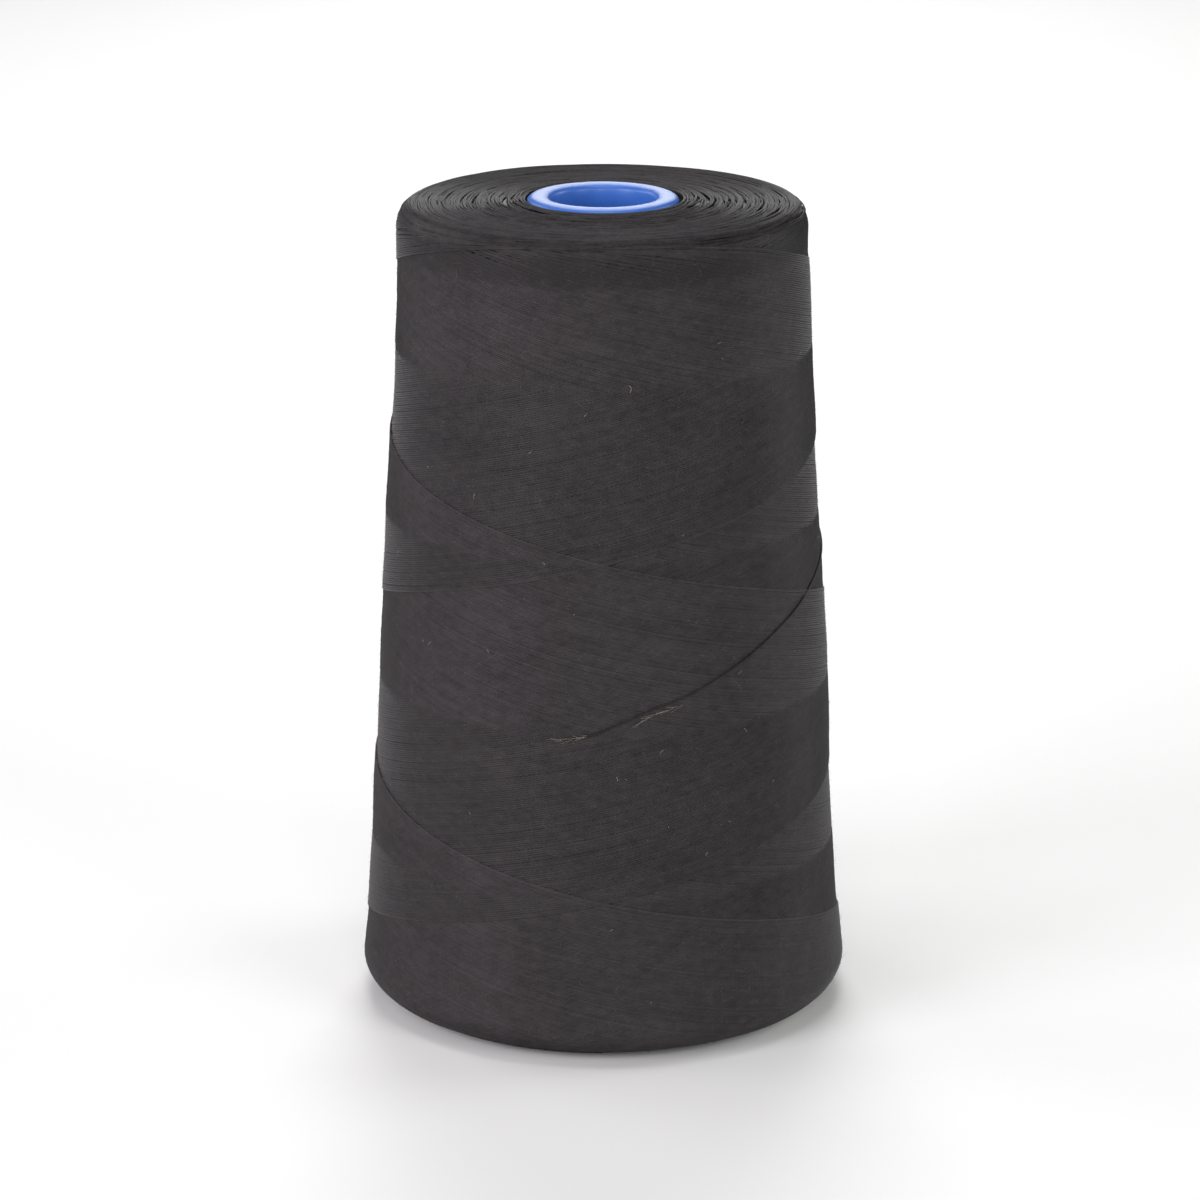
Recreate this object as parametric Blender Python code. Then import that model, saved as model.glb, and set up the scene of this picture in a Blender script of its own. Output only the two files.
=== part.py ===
"""Cone of sewing thread: a cross-wound package on a hollow plastic cone, with its loose end.

Metres, +Z up. The origin is on the axis, in the plane of the cone's foot. Bearings are in
degrees round the axis: 0 is the front, at -Y, and they grow towards +X.
"""

import math
from collections import namedtuple

import bmesh
import bpy
import numpy as np
from mathutils import Matrix, Vector

Station = namedtuple("Station", "height radius")
RoutePoint = namedtuple("RoutePoint", "bearing height")

# Plastic cone: a straight taper with a flat, rounded lip at its nose. Inside, the wall thins
# from the lip's mouth down to the flare.
FOOT_RADIUS = 0.0190
NOSE_RADIUS = 0.0110
CONE_WALL = 0.0014
LIP_RADIUS = 0.0117
LIP_MOUTH = 0.0081
LIP_TOP = 0.1283
LIP_DEPTH = 0.0014
LIP_EDGE = 0.0004
LIP_ROLL = 0.0010
LIP_STEP = 0.0004
MOUTH_FLARE = 0.1150
CONE_STEPS = 48

# Thread package: underside, wound side and top face, wound over a traverse of 127 mm.
PACKAGE_BASE = 0.0005
PACKAGE_TOP = 0.1270
BASE_FLAT = 0.0300
SHOULDER_REACH = 0.0025
SHOULDER_DROP = 0.0034
WOUND_SIDE = (
    Station(height=0.0060, radius=0.03810),
    Station(height=0.0100, radius=0.03775),
    Station(height=0.0170, radius=0.03700),
    Station(height=0.0340, radius=0.03605),
    Station(height=0.0510, radius=0.03520),
    Station(height=0.0680, radius=0.03430),
    Station(height=0.0850, radius=0.03320),
    Station(height=0.1020, radius=0.03215),
    Station(height=0.1140, radius=0.03170),
    Station(height=0.1236, radius=0.03165),
)
TOP_FACE = (
    Station(height=0.1270, radius=0.0254),
    Station(height=0.1271, radius=0.0203),
    Station(height=0.1274, radius=0.0160),
    Station(height=0.1277, radius=0.0134),
    Station(height=0.1277, radius=0.0121),
)
UNDER_LIP = 0.1265
FAIRING_DEGREE = 5
PACKAGE_STEPS = 48
SIDE_ROWS = 40
EDGE_ROWS = 4

# Winding: the thread climbs and falls by one pitch in a turn. Each way builds a ribbon that
# stands out by one layer at its newest edge, and the two newest edges cross at one place.
WIND_PITCH = 0.0526
WIND_LAYER = 0.00025
EDGE_SHARE = 0.06
EDGE_CROSSING = RoutePoint(bearing=0.0, height=0.0789)
FADE_OUT = 0.0080

# Loose end: round thread that lies on the package and comes forward from the right.
THREAD_DIAMETER = 0.00035
END_POINTS = 76
END_ROUTE = (
    RoutePoint(bearing=118.0, height=0.0775),
    RoutePoint(bearing=107.0, height=0.0761),
    RoutePoint(bearing=96.0, height=0.0746),
    RoutePoint(bearing=86.0, height=0.0731),
    RoutePoint(bearing=77.0, height=0.0715),
    RoutePoint(bearing=68.0, height=0.0697),
    RoutePoint(bearing=59.0, height=0.0677),
    RoutePoint(bearing=51.0, height=0.0658),
    RoutePoint(bearing=43.0, height=0.0637),
    RoutePoint(bearing=35.0, height=0.0616),
    RoutePoint(bearing=27.0, height=0.0596),
    RoutePoint(bearing=19.0, height=0.0578),
    RoutePoint(bearing=12.5, height=0.0567),
    RoutePoint(bearing=4.5, height=0.0547),
    RoutePoint(bearing=-3.0, height=0.0528),
    RoutePoint(bearing=-10.0, height=0.0519),
)

GAP = 0.0003


def clear_scene():
    for ob in list(bpy.data.objects):
        bpy.data.objects.remove(ob, do_unlink=True)


def make_material(name, color, roughness):
    material = bpy.data.materials.new(name)
    material.use_nodes = True
    shader = material.node_tree.nodes["Principled BSDF"]
    shader.inputs["Base Color"].default_value = (*color, 1.0)
    shader.inputs["Roughness"].default_value = roughness
    shader.inputs["Metallic"].default_value = 0.0
    return material


def quarter_arc(centre, reach, rise, start, steps):
    """Points of a quarter ellipse about (radius, height) centre, from start degrees upwards."""
    angles = np.radians(np.linspace(start, start + 90.0, steps + 1))
    return [(centre[0] + reach * math.cos(a), centre[1] + rise * math.sin(a)) for a in angles]


def cone_radius(height):
    """Outer radius of the plastic cone's straight wall."""
    under_lip = LIP_TOP - LIP_DEPTH
    return FOOT_RADIUS + (NOSE_RADIUS - FOOT_RADIUS) * height / under_lip


def side_radius(height):
    """Radius of the wound side, as a fair curve through its stations."""
    heights = [s.height for s in WOUND_SIDE]
    radii = [s.radius for s in WOUND_SIDE]
    middle = (heights[0] + heights[-1]) / 2
    half = (heights[-1] - heights[0]) / 2
    fair = np.polyfit((np.array(heights) - middle) / half, radii, FAIRING_DEGREE)
    return float(np.polyval(fair, (height - middle) / half))


def ribbon(lane):
    """Height of one ribbon across its pitch: a slow fall from its newest edge, then a step up."""
    lane %= 1.0
    if lane < 1.0 - EDGE_SHARE:
        return 1.0 - lane / (1.0 - EDGE_SHARE)
    return (lane - 1.0) / EDGE_SHARE + 1.0


def wind_relief(bearing, height):
    """How far the crossing ribbons stand out at a point on the side, none at either end."""
    turns = (bearing - EDGE_CROSSING.bearing) / 360.0
    climbed = (height - EDGE_CROSSING.height) / WIND_PITCH
    rise = ribbon(climbed - turns) + ribbon(-climbed - turns)
    ends = min(height - WOUND_SIDE[0].height, WOUND_SIDE[-1].height - height) / FADE_OUT
    return WIND_LAYER * (rise - 1.0) * min(max(ends, 0.0), 1.0)


def spin_profile(name, profile, steps):
    """Turn a closed (radius, height) outline about the Z axis into one closed body."""
    bm = bmesh.new()
    verts = [bm.verts.new((radius, 0.0, height)) for radius, height in profile]
    edges = [bm.edges.new((a, b)) for a, b in zip(verts, verts[1:] + verts[:1])]
    bmesh.ops.spin(
        bm,
        geom=verts + edges,
        cent=(0.0, 0.0, 0.0),
        axis=(0.0, 0.0, 1.0),
        angle=math.tau,
        steps=steps,
        use_merge=True,
    )
    bmesh.ops.recalc_face_normals(bm, faces=bm.faces)
    mesh = bpy.data.meshes.new(name)
    bm.to_mesh(mesh)
    bm.free()
    return mesh


def add_object(name, data, material):
    ob = bpy.data.objects.new(name, data)
    bpy.context.scene.collection.objects.link(ob)
    ob.data.materials.append(material)
    return ob


def make_cone(material):
    """Hollow plastic cone, open at both ends, with its lip turned in round the nose."""
    under_lip = LIP_TOP - LIP_DEPTH
    edge = quarter_arc((LIP_RADIUS - LIP_EDGE, LIP_TOP - LIP_EDGE), LIP_EDGE, LIP_EDGE, 0.0, 2)
    roll = quarter_arc((LIP_MOUTH + LIP_ROLL, LIP_TOP - LIP_ROLL), LIP_ROLL, LIP_ROLL, 90.0, 4)
    profile = [(FOOT_RADIUS, 0.0), (NOSE_RADIUS, under_lip), (LIP_RADIUS, under_lip + LIP_STEP)]
    profile += edge + roll
    profile += [(LIP_MOUTH, under_lip - LIP_STEP)]
    profile += [(cone_radius(MOUTH_FLARE) - CONE_WALL, MOUTH_FLARE), (FOOT_RADIUS - CONE_WALL, 0.0)]
    cone = add_object("plastic_cone", spin_profile("plastic_cone", profile, CONE_STEPS), material)
    cone.data.shade_smooth()
    cone.data.set_sharp_from_angle(angle=math.radians(35.0))
    return cone


def make_package(material):
    """Wound body: rounded foot, crossing ribbons on its side, soft shoulder, top up to the lip."""
    low, high = WOUND_SIDE[0], WOUND_SIDE[-1]
    foot_reach = side_radius(low.height) - BASE_FLAT
    foot = quarter_arc((BASE_FLAT, low.height), foot_reach, low.height - PACKAGE_BASE, -90.0, EDGE_ROWS)
    heights = np.linspace(low.height, high.height, SIDE_ROWS + 1)[1:-1]
    side = [(side_radius(h), float(h)) for h in heights]
    shoulder_centre = (side_radius(high.height) - SHOULDER_REACH, PACKAGE_TOP - SHOULDER_DROP)
    shoulder = quarter_arc(shoulder_centre, SHOULDER_REACH, SHOULDER_DROP, 0.0, EDGE_ROWS)
    profile = foot + side + shoulder + [(s.radius, s.height) for s in TOP_FACE]
    profile += [(TOP_FACE[-1].radius, UNDER_LIP), (cone_radius(UNDER_LIP) + GAP, UNDER_LIP)]
    profile += [(cone_radius(PACKAGE_BASE) + GAP, PACKAGE_BASE)]
    mesh = spin_profile("thread_package", profile, PACKAGE_STEPS)
    for vert in mesh.vertices:
        outer = math.hypot(vert.co.x, vert.co.y)
        if low.height < vert.co.z < high.height and outer > BASE_FLAT:
            bearing = math.degrees(math.atan2(vert.co.x, -vert.co.y))
            grown = (outer + wind_relief(bearing, vert.co.z)) / outer
            vert.co.x *= grown
            vert.co.y *= grown
    package = add_object("thread_package", mesh, material)
    package.data.shade_smooth()
    package.data.set_sharp_from_angle(angle=math.radians(50.0))
    return package


def smooth_route(points, count):
    """Even points along a Catmull-Rom curve through the route's own points."""
    knots = np.array([points[0], *points, points[-1]])
    fine = []
    for a, b, c, d in zip(knots, knots[1:], knots[2:], knots[3:]):
        for t in np.linspace(0.0, 1.0, 24, endpoint=False):
            fine.append(
                0.5 * (2 * b + (c - a) * t + (2 * a - 5 * b + 4 * c - d) * t**2 + (3 * b - a - 3 * c + d) * t**3)
            )
    fine.append(knots[-1])
    fine = np.array(fine)
    run = np.concatenate([[0.0], np.cumsum(np.linalg.norm(np.diff(fine, axis=0), axis=1))])
    places = np.linspace(0.0, run[-1], count)
    return np.stack([np.interp(places, run, fine[:, k]) for k in range(3)], axis=1)


def on_package(point):
    """Centre of the loose thread over a point of the wound side."""
    turn = Matrix.Rotation(math.radians(point.bearing), 3, "Z")
    out = side_radius(point.height) + wind_relief(point.bearing, point.height)
    out += GAP + THREAD_DIAMETER / 2
    return turn @ Vector((0.0, -out, point.height))


def make_loose_end(material):
    """Free end of the thread, lying along the package as one round cord."""
    curve = bpy.data.curves.new("thread_end", "CURVE")
    curve.dimensions = "3D"
    curve.bevel_depth = THREAD_DIAMETER / 2
    curve.bevel_resolution = 2
    curve.use_fill_caps = True
    spline = curve.splines.new("POLY")
    spline.points.add(END_POINTS - 1)
    route = smooth_route([on_package(p) for p in END_ROUTE], END_POINTS)
    for knot, place in zip(spline.points, route):
        knot.co = (*place, 1.0)
    return add_object("thread_end", curve, material)


def main():
    clear_scene()
    thread = make_material("thread", (0.034, 0.032, 0.035), 0.85)
    plastic = make_material("plastic", (0.045, 0.125, 0.420), 0.35)
    loose = make_material("loose_thread", (0.030, 0.029, 0.033), 0.85)
    make_cone(plastic)
    make_package(thread)
    make_loose_end(loose)


main()
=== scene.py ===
import math

import bmesh
import bpy
import numpy as np
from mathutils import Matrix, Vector


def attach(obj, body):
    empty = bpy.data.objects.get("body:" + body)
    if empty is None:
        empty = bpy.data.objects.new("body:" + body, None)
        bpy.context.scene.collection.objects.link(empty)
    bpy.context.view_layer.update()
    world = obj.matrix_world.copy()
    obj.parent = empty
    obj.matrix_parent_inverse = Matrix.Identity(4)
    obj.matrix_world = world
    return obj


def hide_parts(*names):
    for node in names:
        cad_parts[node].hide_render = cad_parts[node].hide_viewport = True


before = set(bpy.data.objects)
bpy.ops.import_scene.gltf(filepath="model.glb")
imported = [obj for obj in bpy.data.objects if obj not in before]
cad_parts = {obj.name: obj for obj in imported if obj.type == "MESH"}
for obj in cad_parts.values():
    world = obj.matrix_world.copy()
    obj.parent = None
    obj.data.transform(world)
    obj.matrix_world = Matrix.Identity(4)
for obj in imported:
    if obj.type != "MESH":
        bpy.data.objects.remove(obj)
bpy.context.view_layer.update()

# cone of thread: a cross-wound package on a blue plastic cone, with its loose end lying on it
# metres, +Z up; turns and bearings start at the front, at -Y, and grow towards +X
scene = bpy.context.scene
chance = np.random.default_rng(11)


def linked(name, data):
    ob = bpy.data.objects.new(name, data)
    scene.collection.objects.link(ob)
    return ob


def shaped(name, bm, smooth=True):
    mesh = bpy.data.meshes.new(name)
    bm.to_mesh(mesh)
    bm.free()
    mesh.polygons.foreach_set("use_smooth", np.full(len(mesh.polygons), smooth))
    return linked(name, mesh)


def spunRound(rows, steps):
    # a closed outline of (radius, height) turned once round the middle
    bm = bmesh.new()
    spots = [bm.verts.new((radius, 0.0, height)) for radius, height in rows]
    edges = [bm.edges.new(pair) for pair in zip(spots, spots[1:] + spots[:1])]
    bmesh.ops.spin(bm, geom=spots + edges, cent=(0, 0, 0), axis=(0, 0, 1), angle=math.tau,
                   steps=steps, use_merge=True)
    bmesh.ops.recalc_face_normals(bm, faces=bm.faces)
    return bm


def newCurve(name, thick, resolution=0):
    curve = bpy.data.curves.new(name, "CURVE")
    curve.dimensions = "3D"
    curve.bevel_depth = thick
    curve.bevel_resolution = resolution
    return curve


def addLine(curve, spots):
    spline = curve.splines.new("POLY")
    spline.points.add(len(spots) - 1)
    spline.points.foreach_set("co", np.c_[spots, np.ones(len(spots))].ravel())
    return spline


def meshOfCurve(name, curve):
    line = bpy.data.objects.new(name + "_line", curve)
    mesh = bpy.data.meshes.new_from_object(line)
    bpy.data.objects.remove(line)
    return mesh


def runAlong(spots):
    # how far each point is along its line
    return np.concatenate([[0.0], np.cumsum(np.linalg.norm(np.diff(spots, axis=0), axis=1))])


# finishes are built with these two, so that sums on node outputs read as sums
class Wire:
    def __init__(self, finish, socket):
        self.finish = finish
        self.socket = socket

    def sum(self, operation, *values):
        return self.finish.node("ShaderNodeMath", {"operation": operation}, dict(enumerate(values)))

    def __add__(self, other):
        return self.sum("ADD", self, other)

    def __radd__(self, other):
        return self.sum("ADD", other, self)

    def __sub__(self, other):
        return self.sum("SUBTRACT", self, other)

    def __rsub__(self, other):
        return self.sum("SUBTRACT", other, self)

    def __mul__(self, other):
        return self.sum("MULTIPLY", self, other)

    def __rmul__(self, other):
        return self.sum("MULTIPLY", other, self)

    def wave(self):
        return self.sum("SINE", self)

    def held(self, low=0.0, high=1.0):
        return self.sum("MINIMUM", self.sum("MAXIMUM", self, low), high)


class Finish:
    def __init__(self, name, **fixed):
        self.material = bpy.data.materials.new(name)
        self.material.use_nodes = True
        self.tree = self.material.node_tree
        self.shader = self.tree.nodes["Principled BSDF"]
        for key, value in fixed.items():
            self.shader.inputs[key.replace("_", " ")].default_value = value

    def node(self, kind, settings=None, sockets=None, out=0):
        made = self.tree.nodes.new(kind)
        for key, value in (settings or {}).items():
            if key == "stops":
                ramp = made.color_ramp
                while len(ramp.elements) < len(value):
                    ramp.elements.new(0.5)
                for stop, (place, color) in zip(ramp.elements, value):
                    stop.position = place
                    stop.color = color
            else:
                setattr(made, key, value)
        for key, value in (sockets or {}).items():
            if isinstance(value, Wire):
                self.tree.links.new(value.socket, made.inputs[key])
            else:
                made.inputs[key].default_value = value
        return Wire(self, made.outputs[out])

    def place(self):
        return self.node("ShaderNodeTexCoord", out="Object")

    def mark(self, name):  # a number kept on the points of the mesh
        return self.node("ShaderNodeAttribute", {"attribute_name": name}, out="Fac")

    def noise(self, scale, detail=2.0, rough=0.5, stretch=(1.0, 1.0, 1.0)):
        spot = self.node("ShaderNodeMapping", sockets={"Vector": self.place(), "Scale": stretch})
        sockets = {"Vector": spot, "Scale": scale, "Detail": detail, "Roughness": rough}
        return self.node("ShaderNodeTexNoise", sockets=sockets)

    def blend(self, amount, first, second):
        settings = {"data_type": "RGBA", "clamp_factor": True}
        return self.node("ShaderNodeMix", settings, {0: amount, 6: first, 7: second}, out=2)

    def feed(self, socket, wire):
        self.tree.links.new(wire.socket, self.shader.inputs[socket])

    def relief(self, height, strength, distance):
        sockets = {"Height": height, "Strength": strength, "Distance": distance}
        self.feed("Normal", self.node("ShaderNodeBump", sockets=sockets, out="Normal"))


# camera, in front and a little above the package
view = {"aim": (0.0, 0.0, 0.0636), "distance": 0.7218, "lift": 16.5, "lens": 137.9, "shift": -0.0025}


def setCamera():
    lift = math.radians(view["lift"])
    aim = Vector(view["aim"])
    data = bpy.data.cameras.new("camera")
    data.lens = view["lens"]
    data.sensor_width = 36.0
    data.shift_x = view["shift"]
    data.clip_start = 0.01
    camera = linked("camera", data)
    camera.location = aim + view["distance"] * Vector((0.0, -math.cos(lift), math.sin(lift)))
    camera.rotation_euler = (aim - camera.location).to_track_quat("-Z", "Y").to_euler()
    scene.camera = camera


setCamera()
print("camera set")

# the package's shape is read from its solid, so the threads lie on the same side
package = {
    "low": 0.0060,         # the wound side runs from here
    "high": 0.1236,        # to here, with a rounded foot and shoulder beyond
    "fairing": 5,          # degree of the smooth curve down the side
    "pitch": 0.0526,       # rise of the thread in one turn
    "layer": 0.00026,      # how far the newest turns stand over the oldest beside them
    "gauge": 0.00040,      # width of the thread as wound
    "crossing": 0.0789,    # height at the front where the newest rising and falling turns cross
    "lanes": 157,          # threads side by side that fill one pitch
    "boreClear": 0.024,    # the solid's points further out than this are on its outside
    "baseRing": 0.0300,    # where the rounded foot turns in under the base
    "baseHole": 0.0192,
    "baseLift": 0.0005,
    "shoulder": (0.0025, 0.0034),  # reach and rise of the rounded shoulder
    "topFace": (           # radius and height, over the slightly domed top
        (0.0254, 0.1270), (0.0203, 0.1271), (0.0160, 0.1274), (0.0134, 0.1277), (0.0121, 0.1277),
    ),
}
cadSide = np.array([v.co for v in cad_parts["thread_package"].data.vertices])
cadRadius = np.hypot(cadSide[:, 0], cadSide[:, 1])
onSide = cadRadius > package["boreClear"]
onSide &= (cadSide[:, 2] > package["low"] - 1e-5) & (cadSide[:, 2] < package["high"] + 1e-5)
middle = (package["low"] + package["high"]) / 2
half = (package["high"] - package["low"]) / 2
sideFit = np.polyfit((cadSide[onSide, 2] - middle) / half, cadRadius[onSide], package["fairing"])
print("package read", len(cadSide))


def sideRadius(height):
    return np.polyval(sideFit, (np.asarray(height) - middle) / half)


def arcOfQuarter(reach, rise, steps=64):
    # fine points of a quarter ellipse, and the run along it
    turn = np.linspace(0.0, math.pi / 2, steps)
    spots = np.stack([reach * np.cos(turn), rise * np.sin(turn)], axis=1)
    return spots, runAlong(spots)


def outlinePoints():
    # rows of (run, radius, height): run is the height on the side, and goes on over both ends
    low, high, ring, lift = package["low"], package["high"], package["baseRing"], package["baseLift"]
    foot, footRun = arcOfQuarter(sideRadius(low) - ring, low - lift)
    head, headRun = arcOfQuarter(*package["shoulder"])
    rows = []
    for radius in np.linspace(ring, package["baseHole"], 12)[::-1]:
        rows.append((low - footRun[-1] - (ring - radius), radius, lift))
    for (reach, drop), run in list(zip(foot, footRun))[-2::-1]:
        rows.append((low - run, ring + reach, low - drop))
    for height in np.linspace(low, high, 80)[1:-1]:
        rows.append((height, float(sideRadius(height)), height))
    edge = float(sideRadius(high)) - package["shoulder"][0]
    for (reach, rise), run in zip(head, headRun):
        rows.append((high + run, edge + reach, high + rise))
    end = rows[-1]
    for radius, height in package["topFace"]:
        end = (end[0] + math.hypot(end[1] - radius, end[2] - height), radius, height)
        rows.append(end)
    return np.array(rows)


outline = outlinePoints()
slopeR = np.gradient(outline[:, 1], outline[:, 0])
slopeZ = np.gradient(outline[:, 2], outline[:, 0])
outlineOut = np.stack([slopeZ, -slopeR], axis=1) / np.hypot(slopeR, slopeZ)[:, None]


def outAt(run):
    # which way is out of the package there, as its part away from the middle and its part up
    return [np.interp(run, outline[:, 0], outlineOut[:, k]) for k in range(2)]


def onPackage(turn, run, lift):
    # points at a turn and a run along the outline, lift above it
    run = np.asarray(run)
    outR, outZ = outAt(run)
    radius = np.interp(run, outline[:, 0], outline[:, 1]) + outR * lift
    height = np.interp(run, outline[:, 0], outline[:, 2]) + outZ * lift
    angle = np.asarray(turn) * math.tau
    return np.stack([radius * np.sin(angle), -radius * np.cos(angle), height], axis=-1)


# the newest rising turn lies just above the line from upAt, the newest falling one just below downAt's
upAt = -package["crossing"] / package["pitch"]
downAt = package["crossing"] / package["pitch"]
laneStep = 1.0 / package["lanes"]


def newness(turn, run, way):
    # 1 where the thread of that way was laid last, falling to 0 round to the same edge
    newest = upAt + run / package["pitch"] if way > 0 else downAt - run / package["pitch"]
    return 1.0 - np.mod(newest - turn, 1.0)


unevenSide = {
    "swell": 0.000022,     # long low waves over the whole side
    "swells": 6,
    "neck": {"height": 0.1172, "spread": 0.0006, "depth": 0.00018},  # drawn in above this height
    "hollows": (           # slack places: bearing, height, depth, spread in degrees, spread in height
        (90.0, 0.0400, 0.00030, 26.0, 0.0060),
        (-92.0, 0.0730, 0.00020, 24.0, 0.0045),
        (40.0, 0.0950, 0.00010, 30.0, 0.0060),
        (200.0, 0.0600, 0.00022, 30.0, 0.0070),
        (150.0, 0.1020, 0.00015, 22.0, 0.0050),
    ),
}
swellPhase = chance.uniform(0.0, math.tau, unevenSide["swells"])


def slack(turn, run):
    # gentle unevenness of the whole side
    total = np.zeros(np.broadcast(turn, run).shape)
    for i, phase in enumerate(swellPhase):
        wave = np.sin(math.tau * ((1 + i % 4) * turn + run * (18 + 13 * i)) + phase)
        total = total + wave * unevenSide["swell"]
    for bearing, height, depth, wide, tall in unevenSide["hollows"]:
        away = (np.mod(turn * 360 - bearing + 180, 360) - 180) / wide
        total = total - depth * np.exp(-(away**2) - ((run - height) / tall) ** 2)
    neck = unevenSide["neck"]
    return total - neck["depth"] / (1 + np.exp(-(run - neck["height"]) / neck["spread"]))


def windLift(turn, run):
    rise = newness(turn, run, 1) + newness(turn, run, -1) - 1.0
    return package["layer"] * rise + slack(turn, run)


# loose end: the free thread, lying round the package from behind on the right
looseEnd = {
    "diameter": 0.00035,
    "length": 0.082,
    "sunk": 0.00008,       # how far it beds in among the turns
    "points": 76,          # along its middle line
    "finePoints": 820,     # and along each ply
    "plies": 3,
    "plyThick": 0.52,      # half thickness of a ply, against the width that it has
    "plyOut": 0.50,        # and how far it lies from the middle
    "layRun": 0.00085,     # one twist of the plies
    "route": (             # bearing in degrees, height in metres, from part.py
        (118.0, 0.0775), (107.0, 0.0761), (96.0, 0.0746), (86.0, 0.0731), (77.0, 0.0715), (68.0, 0.0697),
        (59.0, 0.0677), (51.0, 0.0658), (43.0, 0.0637), (35.0, 0.0616), (27.0, 0.0596), (19.0, 0.0578),
        (12.5, 0.0567), (4.5, 0.0547), (-3.0, 0.0528), (-10.0, 0.0519),
    ),
}


def smoothRoute(points, count, steps=24):
    # one smooth line through all the points, then spaced out evenly
    knots = np.array([points[0], *points, points[-1]])
    fine = []
    for a, b, c, d in zip(knots, knots[1:], knots[2:], knots[3:]):
        for t in np.linspace(0.0, 1.0, steps, endpoint=False):
            pull = (c - a) * t
            bend = (2 * a - 5 * b + 4 * c - d) * t**2
            swing = (3 * b - a - 3 * c + d) * t**3
            fine.append(0.5 * (2 * b + pull + bend + swing))
    fine.append(knots[-1])
    fine = np.array(fine)
    run = runAlong(fine)
    places = np.linspace(0.0, run[-1], count)
    return np.stack([np.interp(places, run, fine[:, k]) for k in range(3)], axis=1)


def layLooseEnd():
    rest = package["gauge"] / 2 + looseEnd["diameter"] / 2 - looseEnd["sunk"]
    centres = []
    for bearing, height in looseEnd["route"]:
        centres.append(onPackage(bearing / 360, height, windLift(bearing / 360, height) + rest))
    path = smoothRoute(centres, looseEnd["points"])
    fine = smoothRoute(centres, looseEnd["finePoints"])
    along = np.gradient(fine, axis=0)
    along /= np.linalg.norm(along, axis=1)[:, None]
    out = fine * np.array([1.0, 1.0, 0.0])
    out -= along * np.sum(out * along, axis=1)[:, None]
    out /= np.linalg.norm(out, axis=1)[:, None]
    side = np.cross(along, out)
    plyWidth = looseEnd["diameter"] / 2
    curve = newCurve("loose_end", plyWidth * looseEnd["plyThick"], 1)
    curve.use_fill_caps = True
    for ply in range(looseEnd["plies"]):
        turn = math.tau * (runAlong(fine) / looseEnd["layRun"] + ply / looseEnd["plies"])
        ring = np.cos(turn)[:, None] * out + np.sin(turn)[:, None] * side
        addLine(curve, fine + ring * plyWidth * looseEnd["plyOut"])
    mesh = meshOfCurve("loose_end", curve)
    mesh.polygons.foreach_set("use_smooth", np.ones(len(mesh.polygons), bool))
    return linked("loose_end", mesh), path


loose, loosePath = layLooseEnd()
print("loose end laid", round(float(runAlong(loosePath)[-1]), 4))


# threads: half-round strands laid with their round side out
def strands(name, runs, gauge, flatMap=False):
    # runs are (turn, run, lift, tone) arrays with turns falling, so that the open half faces in
    curve = newCurve(name, gauge / 2)
    curve.fill_mode = "HALF"
    curve.twist_mode = "Z_UP"
    tone, along = [], []
    for turn, run, lift, shade in runs:
        spots = onPackage(turn, run, lift)
        outR, outZ = outAt(run)
        addLine(curve, spots).points.foreach_set("tilt", np.arctan2(outZ, outR))
        along.append(runAlong(spots))
        tone.append(shade)
    mesh = meshOfCurve(name, curve)
    count = len(mesh.vertices)
    across = count // sum(len(t) for t in tone)
    marks = {
        "tone": np.repeat(np.concatenate(tone), across),
        "along": np.repeat(np.concatenate(along), across),
        "around": np.tile(np.linspace(0.0, 1.0, across), count // across),
    }
    for key, values in marks.items():
        mesh.attributes.new(key, "FLOAT", "POINT").data.foreach_set("value", values.astype(np.float32))
    bakeMap(mesh, flatMap)
    mesh.polygons.foreach_set("use_smooth", np.ones(len(mesh.polygons), bool))
    return linked(name, mesh)


bakeSheet = {"wide": 0.08, "tall": 0.129, "sideGap": 0.02, "endGap": 0.01}  # what a map of the package spans


def bakeMap(mesh, flat):
    # a map laid out by bearing and height, or from above for the ends
    spots = np.empty(len(mesh.vertices) * 3)
    mesh.vertices.foreach_get("co", spots)
    spots = spots.reshape(-1, 3)
    corner = np.empty(len(mesh.loops), np.int64)
    mesh.loops.foreach_get("vertex_index", corner)
    if flat:
        u = spots[corner, 0] / bakeSheet["wide"] + 0.5
        v = spots[corner, 1] / bakeSheet["wide"] + 0.5
    else:
        turn = np.mod(np.arctan2(spots[:, 0], -spots[:, 1]) / math.tau, 1.0)[corner]
        starts = np.empty(len(mesh.polygons), np.int64)
        mesh.polygons.foreach_get("loop_start", starts)
        first = np.repeat(turn[starts], np.diff(np.append(starts, len(corner))))
        turn = turn - np.round(turn - first)  # a face never straddles the join of the map
        u = bakeSheet["sideGap"] + turn * (1 - 2 * bakeSheet["sideGap"])
        v = bakeSheet["endGap"] + spots[corner, 2] / bakeSheet["tall"] * (1 - 2 * bakeSheet["endGap"])
    mesh.uv_layers.new(name="OFBake").data.foreach_set("uv", np.stack([u, v], axis=1).ravel())


winding = {
    "sideSteps": 92,       # points in one turn
    "topTurn": 0.1315,     # where rising and falling turns would meet at the top
    "baseTurn": 0.0,       # and at the base
    "topRound": 0.34,      # part of a turn that each reversal takes
    "baseRound": 0.10,
    "roundSpread": 0.15,   # and how much that varies from pass to pass
    "wander": 0.00003,     # slow sideways drift of the thread
    "wanderRates": (0.137, 0.414, 0.933, 1.71, 3.07),
    "wanderPeak": 2.2,     # what the drifts add up to at most
    "scatter": 0.000012,   # and how far each pass lies off its place
    "steady": 0.5,         # part of a turn from each reversal in which both die away
    "dip": 0.00012,        # how far a thread sinks where it goes under newer ones
    "dipOver": 0.05,       # and the change in age over which it does
    "uneven": 0.000010,
    "toneSwing": 0.25,     # slow change of tone along a pass
    "toneRates": (0.2, 0.6),
}
wanderPhase = chance.uniform(0.0, 1.0, len(winding["wanderRates"]))


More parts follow.
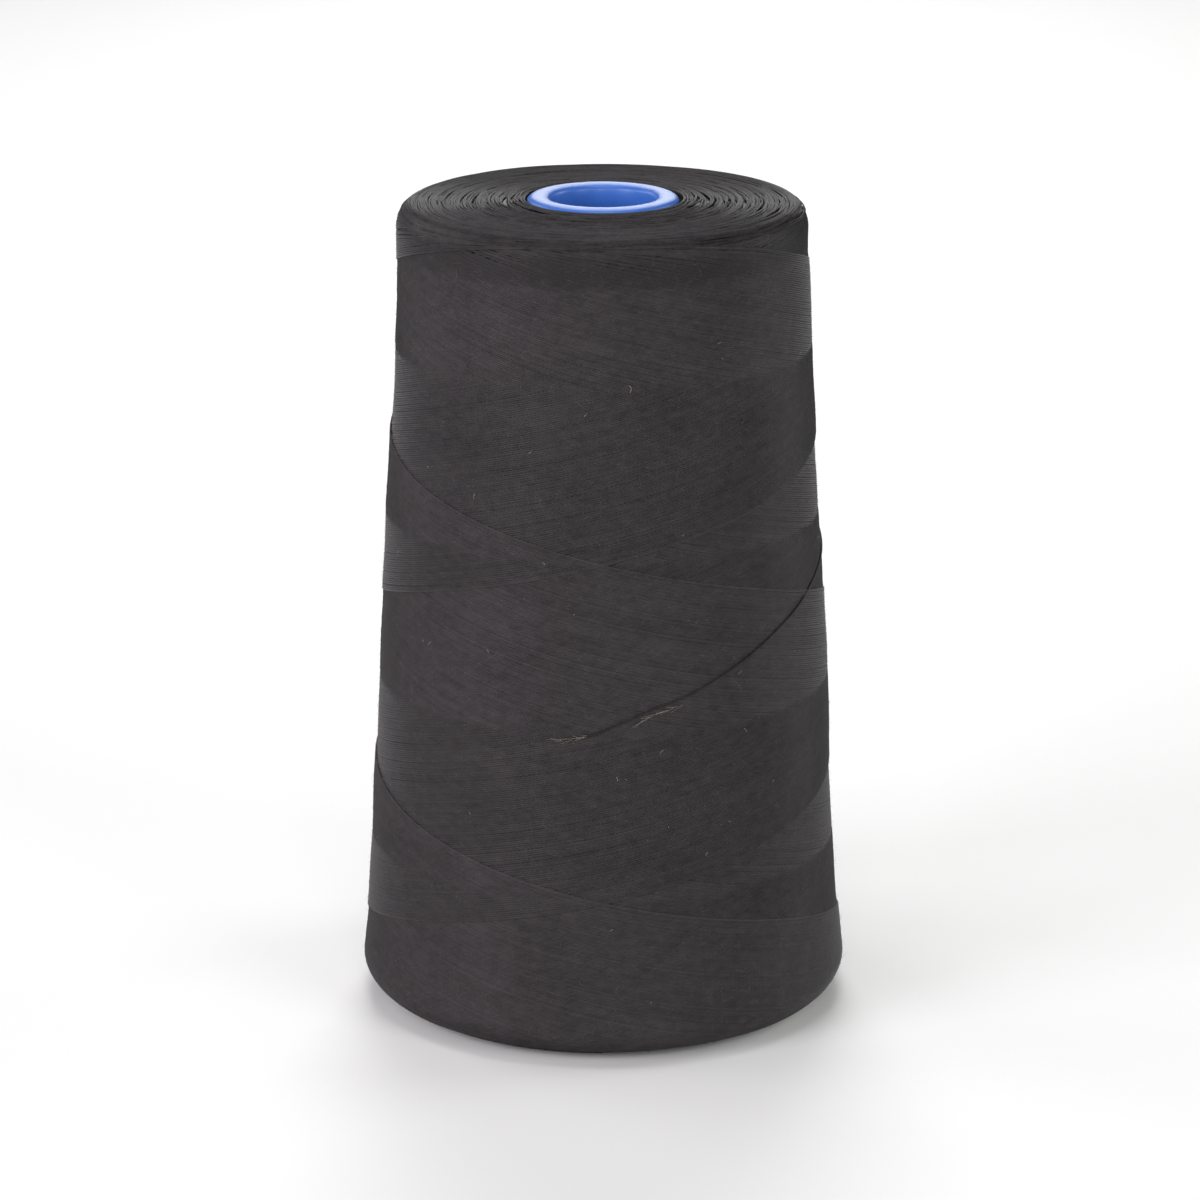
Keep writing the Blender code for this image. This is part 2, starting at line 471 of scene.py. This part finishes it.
def wander(turns):
    total = np.zeros_like(turns)
    for rate, phase in zip(winding["wanderRates"], wanderPhase):
        total = total + np.sin(math.tau * (rate * turns + phase))
    return total * winding["wander"] / winding["wanderPeak"]


def oneWay(way):
    # every pass of the rising or the falling turns, newest first
    pitch, base, top = package["pitch"], winding["baseTurn"], winding["topTurn"]
    turns = (top - base) / pitch
    u = np.linspace(0.0, turns, round(turns * winding["sideSteps"]) + 1)
    rounds = np.array([winding["baseRound"], winding["topRound"]])
    passes = []
    for lane in range(package["lanes"]):
        round0, round1 = rounds * chance.uniform(1 - winding["roundSpread"], 1 + winding["roundSpread"], 2)
        fromBase = np.where(u < round0 / 2, u**2 / round0 + round0 / 4, u)
        fromTop = turns - u
        fromTop = np.where(fromTop < round1 / 2, fromTop**2 / round1 + round1 / 4, fromTop)
        run = np.where(u < turns / 2, base + pitch * fromBase, top - pitch * fromTop)
        straight = base + pitch * u
        turn = straight / pitch + upAt if way > 0 else -straight / pitch + downAt
        turn = turn - lane * laneStep
        inside = np.clip(np.minimum(u, turns - u) / winding["steady"], 0.0, 1.0)
        drift = wander(u - lane * 2 * turns + (0.0 if way > 0 else turns))
        drift = (drift + chance.normal(0.0, winding["scatter"])) * inside
        own = 1.0 - lane * laneStep
        other = newness(turn, run, -way)
        over = np.clip((own - other) / winding["dipOver"] + 0.5, 0.0, 1.0)
        over = over * over * (3 - 2 * over)
        lift = package["layer"] * (own + other - 1.0) - (1.0 - over) * winding["dip"]
        lift = lift + slack(turn, run) + chance.normal(0.0, winding["uneven"])
        tone = chance.uniform(0.0, 1.0)
        rate, phase = chance.uniform(*winding["toneRates"]), chance.uniform()
        shade = tone + winding["toneSwing"] * np.sin(math.tau * (u * rate + phase))
        onePass = (turn, run + drift, lift, shade)
        if way > 0:
            onePass = tuple(values[::-1] for values in onePass)
        passes.append(onePass)
    return passes


rising = strands("thread_rising", oneWay(1), package["gauge"])
falling = strands("thread_falling", oneWay(-1), package["gauge"])
print("side wound", len(rising.data.polygons) * 2, len(falling.data.polygons) * 2, "triangles")

# ends of the package: older turns in a spiral, and turns thrown over it
ends = {
    "step": 0.00034,       # from one turn of the spiral to the next
    "sideSteps": 84,       # points in one turn
    "meander": 0.00055,    # how far a turn swings in and out
    "swings": ((2.13, 0.1), (3.41, 0.6), (0.31, 0.3), (5.17, 0.8)),  # rate and phase of each swing
    "swingPeak": 2.4,      # what the swings add up to at most
    "steady": 1.5,         # turns from either end of the spiral in which the swing dies away
    "ripple": 0.00005,     # how far its turns stand over one another
    "rippleRate": 0.37,
    "toneSwing": 0.4,
    "toneStep": 0.618,     # so that no two turns next to each other are alike
    "arcWide": (0.16, 0.40),   # part of a turn that a thrown turn takes
    "arcReach": (0.5, 1.2),    # how much its reach varies
    "arcSpread": 1.3,          # above 1 they crowd towards the edge
    "arcUneven": 0.00002,
    "arcTone": (-0.4, 1.4),
    "crown": 0.00017,      # how far a thrown turn stands up at its highest
    "fall": 0.00026,       # and how far it goes down again at both ends
    "top": {"start": 0.0026, "arcs": 260, "near": 0.0041, "far": 0.0176, "reach": 0.0011},
    "base": {"start": -0.0012, "arcs": 70, "near": -0.0030, "far": -0.0120, "reach": -0.0010},
}


def endSpiral(first, last):
    turns = abs(last - first) / ends["step"]
    count = int(turns * ends["sideSteps"])
    u = np.linspace(0.0, turns, count)
    run = first + (last - first) * u / turns
    swing = np.zeros(count)
    for rate, phase in ends["swings"]:
        swing += np.sin(math.tau * (rate * u + phase)) * ends["meander"] / ends["swingPeak"]
    inside = np.clip(np.minimum(u, turns - u) / ends["steady"], 0.0, 1.0)
    lift = np.sin(math.tau * (ends["rippleRate"] * u + 0.2)) * ends["ripple"]
    shade = 0.5 + ends["toneSwing"] * np.sin(math.tau * ends["toneStep"] * np.floor(u))
    return (-u, run + swing * inside, lift, shade)


def endArcs(count, near, far, reach):
    # each comes in over the edge and goes out again
    arcs = []
    for _ in range(count):
        wide = chance.uniform(*ends["arcWide"])
        steps = int(wide * ends["sideSteps"]) + 8
        u = np.linspace(-1.0, 1.0, steps)
        apex = near + (far - near) * chance.uniform() ** ends["arcSpread"]
        run = apex - reach * chance.uniform(*ends["arcReach"]) * u**2
        turn = chance.uniform() - u * wide / 2
        lift = ends["crown"] - ends["fall"] * u**2 + chance.normal(0.0, ends["arcUneven"])
        arcs.append((turn, run, lift, np.full(steps, chance.uniform(*ends["arcTone"]))))
    return arcs


def windEnd(name, edge, last, turns):
    runs = [endSpiral(edge + turns["start"], last)]
    runs += endArcs(turns["arcs"], edge + turns["near"], edge + turns["far"], turns["reach"])
    return strands(name, runs, package["gauge"], flatMap=True)


topThreads = windEnd("thread_top", package["high"], outline[-1, 0], ends["top"])
baseThreads = windEnd("thread_base", 0.0, outline[0, 0], ends["base"])
print("ends wound", len(topThreads.data.polygons) * 2, len(baseThreads.data.polygons) * 2, "triangles")


# body under the threads, coloured darker than the thread: painted shade in the gaps between strands
core = {
    "under": 0.00042,      # how far it lies below the threads' middle
    "underEnds": 0.000336,
    "steps": 160,
    "inner": ((0.0122, 0.1262), (0.0192, 0.0009)),  # radius and height where it meets the plastic cone
    "foot": 0.0040,        # the base face's points are below this height
    "footRise": 0.006,     # the relief of the side grows to full over this height
    "sideFrom": 0.0295,    # the side's points are further out than this
    "boreFrom": 0.0205,    # and those nearer than this stay on the bore
}


def coreBody():
    bm = spunRound([(r, z) for _, r, z in outline[1:-1]] + list(core["inner"]), core["steps"])
    for v in bm.verts:
        radius = math.hypot(v.co.x, v.co.y)
        turn = math.atan2(v.co.x, -v.co.y) / math.tau
        run = min(max(v.co.z, 0.0), package["high"])
        lift = -core["under"]
        if radius > core["sideFrom"]:
            lift += float(windLift(turn, run)) * min(1.0, max(0.0, v.co.z / core["footRise"]))
        if radius > core["boreFrom"]:
            v.co.x *= 1 + lift / radius
            v.co.y *= 1 + lift / radius
        if v.co.z > package["high"]:
            v.co.z -= core["underEnds"]
        if v.co.z < core["foot"]:
            v.co.z += core["underEnds"]
    return shaped("thread_core", bm)


coreOb = coreBody()
print("core spun", len(coreOb.data.polygons))

# plastic cone: radii, except where a note says otherwise
tube = {
    "foot": 0.0190,
    "footEdge": 0.0003,    # taken off the foot's outer edge
    "nose": 0.0110,
    "wall": 0.0014,        # thickness
    "lip": 0.0117,
    "mouth": 0.0081,
    "top": 0.1283,         # height
    "lipDepth": 0.0014,    # height of the lip
    "rise": 0.0011,        # height of its crown
    "crownArc": (-8.0, 172.0),  # degrees, from under its outer edge over to the mouth
    "crownFull": 0.8,      # below 1 the crown is fuller than a half circle
    "mouthDrop": 0.0004,   # the mouth's edge is this far below the lip's
    "flare": 0.1150,       # height where the bore has flared to its full width
    "steps": 144,
}


def spinTube():
    foot, nose, mouth = tube["foot"], tube["nose"], tube["mouth"]
    under = tube["top"] - tube["lipDepth"]
    rows = [(foot - tube["footEdge"], 0.0), (foot, tube["footEdge"])]
    rows += [(foot + (nose - foot) * s, under * s) for s in np.linspace(0.02, 1.0, 14)]
    crown = (tube["lip"] + mouth) / 2
    reach = (tube["lip"] - mouth) / 2
    for turn in np.radians(np.linspace(*tube["crownArc"], 25)):
        rise = tube["rise"] * math.copysign(abs(math.sin(turn)) ** tube["crownFull"], math.sin(turn))
        rows.append((crown + reach * math.cos(turn), tube["top"] - tube["rise"] + rise))
    flare = foot - (foot - nose) * tube["flare"] / under - tube["wall"]
    for s in np.linspace(0.0, 1.0, 12):
        ease = s * s * (3 - 2 * s)
        rows.append((mouth + (flare - mouth) * ease, under - tube["mouthDrop"] + (tube["flare"] - under) * s))
    for s in np.linspace(0.1, 1.0, 10):
        rows.append((flare + (foot - tube["wall"] - flare) * s, tube["flare"] * (1 - s)))
    return shaped("blue_cone", spunRound(rows, tube["steps"]))


tubeOb = spinTube()
print("plastic cone spun", len(tubeOb.data.polygons))

# fuzz and lint
fuzz = {
    "count": 8000,
    "thin": 0.000010,
    "size": (0.0004, 0.0015),
    "rise": (0.15, 0.6),   # how far a hair stands up, against its size
    "endRise": 0.6,        # and how much less on the top
    "clear": 0.00012,      # starts this far over the winding
    "first": 0.0005,       # along the outline, the first hair and how far short of its end the last
    "short": 0.0015,
}
lint = {
    "thin": 0.000035,
    "spots": (             # bearing, height, size
        (-49.0, 0.0637, 0.0009), (6.8, 0.1061, 0.0011), (36.9, 0.0607, 0.0010), (37.0, 0.0517, 0.0008),
        (14.0, 0.0497, 0.0007),
    ),
    "count": 70,
    "size": (0.0003, 0.0008),
    "heights": (0.008, 0.122),
    "spotLies": (0.00022, 0.0001),   # over the winding, and how far the free end stands up
    "lies": (0.00020, 0.00008),
}
hair = {
    "heading": 0.7,        # radians either way from level
    "curl": 1.2,
    "lean": 1.4,           # above 1 it stands up towards its tip
    "taper": (1.0, 0.9, 0.7, 0.35),
    "floor": 0.0001,       # none goes lower than this
    "closest": 0.012,      # least radius that a heading is worked out for
}


def hairs(name, starts, thin):
    # fine fibres, each (turn, run, lift, size, rise)
    curve = newCurve(name, thin)
    for turn, run, lift, size, rise in starts:
        heading = chance.uniform(-hair["heading"], hair["heading"])
        heading += math.pi if chance.uniform() < 0.5 else 0.0
        spread = np.linspace(0.0, 1.0, len(hair["taper"]))
        curl = chance.uniform(-hair["curl"], hair["curl"])
        radius = max(hair["closest"], float(np.interp(run, outline[:, 0], outline[:, 1])))
        turns = turn + size * spread * np.cos(heading + curl * spread) / (radius * math.tau)
        runs = run + size * spread * np.sin(heading + curl * spread)
        spots = onPackage(turns, runs, lift + rise * spread ** hair["lean"])
        spots[:, 2] = np.maximum(spots[:, 2], hair["floor"])
        addLine(curve, spots).points.foreach_set("radius", hair["taper"])
    return linked(name, meshOfCurve(name, curve))


def growFuzz():
    starts = []
    for _ in range(fuzz["count"]):
        turn = chance.uniform()
        run = chance.uniform(fuzz["first"], outline[-1, 0] - fuzz["short"])
        size = chance.uniform(*fuzz["size"])
        rise = size * chance.uniform(*fuzz["rise"]) * (fuzz["endRise"] if run > package["high"] else 1.0)
        lift = float(windLift(turn, min(run, package["high"]))) + fuzz["clear"]
        starts.append((turn, run, lift, size, rise))
    return hairs("thread_fuzz", starts, fuzz["thin"])


def scatterLint():
    starts = []
    for bearing, height, size in lint["spots"]:
        starts.append((bearing / 360, height, size, lint["spotLies"]))
    for _ in range(lint["count"]):
        turn, height = chance.uniform(), chance.uniform(*lint["heights"])
        size = chance.uniform(*lint["size"])
        starts.append((turn, height, size, lint["lies"]))
    laid = [(t, h, float(windLift(t, h)) + clear, size, rise) for t, h, size, (clear, rise) in starts]
    return hairs("lint", laid, lint["thin"])


fray = {
    "thin": 0.000028,
    "tip": 14,             # fibres at the cut end
    "parted": 10,          # and in a strand that has come away further back
    "tipBack": (0.0, 10.0),       # degrees back from the end
    "partedBack": (18.0, 32.0),
    "partedDrop": 0.0009,
    "size": (1.5, 5.5),           # degrees
    "clear": 0.00034,
    "stray": 0.0006,              # sideways at the fibre's end
    "uneven": 0.00005,
    "standUp": 0.0003,
    "taper": (1.0, 1.0, 0.8, 0.6, 0.3),
}


def frayTip():
    # parted fibres at the cut end of the loose thread
    curve = newCurve("loose_fray", fray["thin"])
    bearing = looseEnd["route"][-1][0]
    routeBearings, routeHeights = np.array(looseEnd["route"][::-1]).T
    for number in range(fray["tip"] + fray["parted"]):
        atTip = number < fray["tip"]
        back = chance.uniform(*fray["tipBack"]) if atTip else chance.uniform(*fray["partedBack"])
        size = chance.uniform(*fray["size"])
        u = np.linspace(0.0, 1.0, len(fray["taper"]))
        bearings = bearing + back - size * u
        runs = np.interp(bearings, routeBearings, routeHeights)
        stray = chance.uniform(-fray["stray"], fray["stray"])
        runs = runs + stray * u**1.5 + chance.normal(0.0, fray["uneven"])
        runs = runs - (0.0 if atTip else fray["partedDrop"])
        lifts = windLift(bearings / 360, runs) + fray["clear"] + chance.uniform(0.0, fray["standUp"]) * u
        spots = onPackage(bearings / 360, runs, lifts)
        addLine(curve, spots).points.foreach_set("radius", fray["taper"])
    return linked("loose_fray", meshOfCurve("loose_fray", curve))


fuzzOb = growFuzz()
lintOb = scatterLint()
frayOb = frayTip()
print("fuzz grown", len(fuzzOb.data.polygons), len(lintOb.data.polygons))


# materials
spun = {
    "cloud": {"scale": 70.0, "detail": 3.0, "rough": 0.6, "stretch": (1.0, 1.0, 2.2)},
    "mottle": {"scale": 520.0, "detail": 3.0, "rough": 0.7, "stretch": (1.0, 1.0, 1.7)},
    "grain": {"scale": 1500.0, "detail": 3.0, "rough": 0.65},
    "cloudShare": 0.8,     # how much each of them changes the tone
    "mottleShare": 1.7,
    "grainShare": 0.35,
    "toneShare": 0.25,     # and the thread's own tone
    "plyShare": 0.08,      # and its twist
    "plyRun": 0.0011,
    "sheenTint": (0.85, 0.83, 0.9, 1.0),
    "rough": (0.40, 0.14),       # at least, and what the grain adds
    "relief": (0.35, 0.00005),   # strength and depth
    "shoulderShade": {"height": 0.1230, "spread": 0.0030, "darker": 0.60},  # painted shade: a band just under the shoulder made darker
}
threadTones = {  # dark tone, light tone, gloss, and whether it is on strands with their own marks
    # painted light: the falling turns have lighter tones than the rising turns of the same thread, for how
    # the lamps catch the two directions
    "wound_thread_rising_shaded": ((0.0150, 0.0133, 0.0145), (0.0335, 0.0302, 0.0322), 0.16, True),
    "wound_thread_falling_lit": ((0.0178, 0.0155, 0.0170), (0.0385, 0.0345, 0.0370), 0.16, True),
    "wound_thread_ends": ((0.0120, 0.0107, 0.0117), (0.0380, 0.0345, 0.0365), 0.04, True),
    # painted shade: the thread under the strands is darker than the wound thread
    "thread_under_shaded": ((0.006, 0.0055, 0.006), (0.014, 0.0125, 0.0135), 0.16, False),
    # painted shade: the loose thread is darker than the same thread wound, for the shadow along it
    "loose_thread": ((0.009, 0.009, 0.0095), (0.021, 0.020, 0.0215), 0.16, False),
}


def spunThread(name):
    dark, light, gloss, laid = threadTones[name]
    finish = Finish(name, Specular_IOR_Level=gloss, Sheen_Weight=0.02, Sheen_Roughness=0.5,
                    Sheen_Tint=spun["sheenTint"])
    cloud = finish.noise(**spun["cloud"])
    grain = finish.noise(**spun["grain"])
    mottle = finish.noise(**spun["mottle"])
    shade = 0.5 + spun["cloudShare"] * (cloud - 0.5) + spun["mottleShare"] * (mottle - 0.5)
    shade = shade + spun["grainShare"] * (grain - 0.5)
    if laid:
        ply = (finish.mark("along") * (math.tau / spun["plyRun"]) + finish.mark("around") * math.tau).wave()
        shade = shade + spun["toneShare"] * (finish.mark("tone") - 0.5) + spun["plyShare"] * ply
        # painted shade: the thread's colour is darkened in a band just under the shoulder
        height = finish.node("ShaderNodeSeparateXYZ", sockets={"Vector": finish.place()}, out="Z")
        away = (height - spun["shoulderShade"]["height"]) * (1 / spun["shoulderShade"]["spread"])
        shade = shade - spun["shoulderShade"]["darker"] * (1.0 - away * away).held()
    finish.feed("Base Color", finish.blend(shade.held(), (*dark, 1.0), (*light, 1.0)))
    finish.feed("Roughness", spun["rough"][0] + spun["rough"][1] * grain)
    finish.relief(grain, *spun["relief"])
    return finish.material


fibreTones = {
    "fuzz_fibre": ((0.05, 0.045, 0.05), (0.10, 0.09, 0.10)),
    "lint_fibre": ((0.20, 0.10, 0.08), (0.30, 0.27, 0.24), (0.22, 0.22, 0.30), (0.34, 0.28, 0.16)),
    # painted highlight: the fray fibres are pale where the cut fibres catch the light, though the thread is
    # near black
    "fray_fibre_highlight": ((0.14, 0.12, 0.10), (0.30, 0.26, 0.20)),
}


def fibre(name, sheen):
    finish = Finish(name, Roughness=0.8, Sheen_Weight=sheen)
    hue = finish.noise(260.0, 2.0, 0.7)
    tones = fibreTones[name]
    stops = [(0.25 + 0.5 * i / (len(tones) - 1), (*tone, 1.0)) for i, tone in enumerate(tones)]
    finish.feed("Base Color", finish.node("ShaderNodeValToRGB", {"stops": stops}, {"Fac": hue}))
    return finish.material


blue = {
    "deep": (0.030, 0.110, 0.42, 1.0),
    "bright": (0.045, 0.155, 0.54, 1.0),
    "flow": 1.2,           # how strong the flow marks are
    "coat": 0.12,
    "rough": (0.33, 0.10),
    "relief": (0.10, 0.00004),
}


def mouldedBlue():
    finish = Finish("moulded_blue", IOR=1.46, Coat_Weight=blue["coat"], Coat_Roughness=0.25)
    flow = finish.noise(120.0, 3.0, 0.5)
    fine = finish.noise(2600.0, 2.0, 0.5)
    streaks = (0.5 + blue["flow"] * (flow - 0.5)).held()
    finish.feed("Base Color", finish.blend(streaks, blue["deep"], blue["bright"]))
    finish.feed("Roughness", blue["rough"][0] + blue["rough"][1] * fine)
    finish.relief(fine, *blue["relief"])
    return finish.material


threadEnds = spunThread("wound_thread_ends")
for ob, material in (
    (rising, spunThread("wound_thread_rising_shaded")), (falling, spunThread("wound_thread_falling_lit")),
    (topThreads, threadEnds), (baseThreads, threadEnds), (coreOb, spunThread("thread_under_shaded")),
    (loose, spunThread("loose_thread")), (tubeOb, mouldedBlue()), (fuzzOb, fibre("fuzz_fibre", 0.3)),
    (lintOb, fibre("lint_fibre", 0.2)), (frayOb, fibre("fray_fibre_highlight", 0.2)),
):
    ob.data.materials.clear()
    ob.data.materials.append(material)
print("materials made")

# floor and lights
studio = {
    "floor": 3.0,
    "white": (0.868, 0.870, 0.866),
    "speck": 0.985,        # how much darker its faint patches are
    "sky": 0.03,
    "distance": 1.3,
    "lights": (            # name, bearing, height angle, size, power, color
        ("window", -55.0, 22.0, 0.55, 7.6, (1.0, 0.945, 0.99)),
        ("windowFront", -35.0, 22.0, 0.55, 2.8, (1.0, 0.96, 1.0)),
        ("windowSide", -95.0, 24.0, 0.55, 3.4, (1.0, 0.96, 1.0)),
        ("farLeft", -128.0, 28.0, 0.55, 2.4, (1.0, 1.0, 1.0)),
        ("front", 2.0, 22.0, 0.55, 5.3, (1.0, 1.0, 1.0)),
        ("right", 46.0, 22.0, 0.55, 5.2, (1.0, 1.0, 0.985)),
        ("farRight", 105.0, 22.0, 0.55, 4.4, (1.0, 1.0, 0.985)),
        ("behind", 178.0, 22.0, 0.55, 3.2, (1.0, 1.0, 1.0)),
        ("behindHigh", 180.0, 48.0, 0.60, 5.2, (1.0, 1.0, 1.0)),
        ("above", 0.0, 89.0, 0.60, 3.4, (1.0, 1.0, 1.0)),
    ),
}


def layFloor():
    bm = bmesh.new()
    bmesh.ops.create_circle(bm, cap_ends=True, cap_tris=False, segments=96, radius=studio["floor"])
    floor = shaped("floor", bm, smooth=False)
    finish = Finish("pale_floor", Roughness=0.6)
    speck = finish.noise(14.0, 3.0, 0.5)
    pale = studio["white"]
    dimmer = [c * studio["speck"] for c in pale]
    finish.feed("Base Color", finish.blend(speck, (*dimmer, 1.0), (*pale, 1.0)))
    floor.data.materials.append(finish.material)


def hangLights():
    aim = Vector(view["aim"])
    for name, bearing, height, size, power, color in studio["lights"]:
        turn, rise = math.radians(bearing), math.radians(height)
        place = Vector((math.sin(turn) * math.cos(rise), -math.cos(turn) * math.cos(rise), math.sin(rise)))
        data = bpy.data.lights.new(name, "AREA")
        data.shape = "SQUARE"
        data.size = size
        data.energy = power
        data.color = color
        lamp = linked(name, data)
        lamp.location = aim + place * studio["distance"]
        lamp.rotation_euler = (aim - lamp.location).to_track_quat("-Z", "Y").to_euler()
    world = bpy.data.worlds.new("room")
    world.use_nodes = True
    back = world.node_tree.nodes["Background"]
    back.inputs["Color"].default_value = (1.0, 1.0, 1.0, 1.0)
    back.inputs["Strength"].default_value = studio["sky"]
    scene.world = world


layFloor()
hangLights()
scene.view_settings.view_transform = "Standard"
print("floor and lights set")

# every piece goes on the one body, root
for ob, slot in (
    (coreOb, "thread"), (rising, "thread"), (falling, "thread"), (topThreads, "thread"),
    (baseThreads, "thread"), (loose, "thread"), (frayOb, "thread"), (fuzzOb, "thread"), (lintOb, "thread"),
    (tubeOb, "plastic"),
):
    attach(ob, "root")
for ob in (coreOb, rising, falling, topThreads, baseThreads):
    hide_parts("thread_package")
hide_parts("thread_end")
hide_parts("plastic_cone")
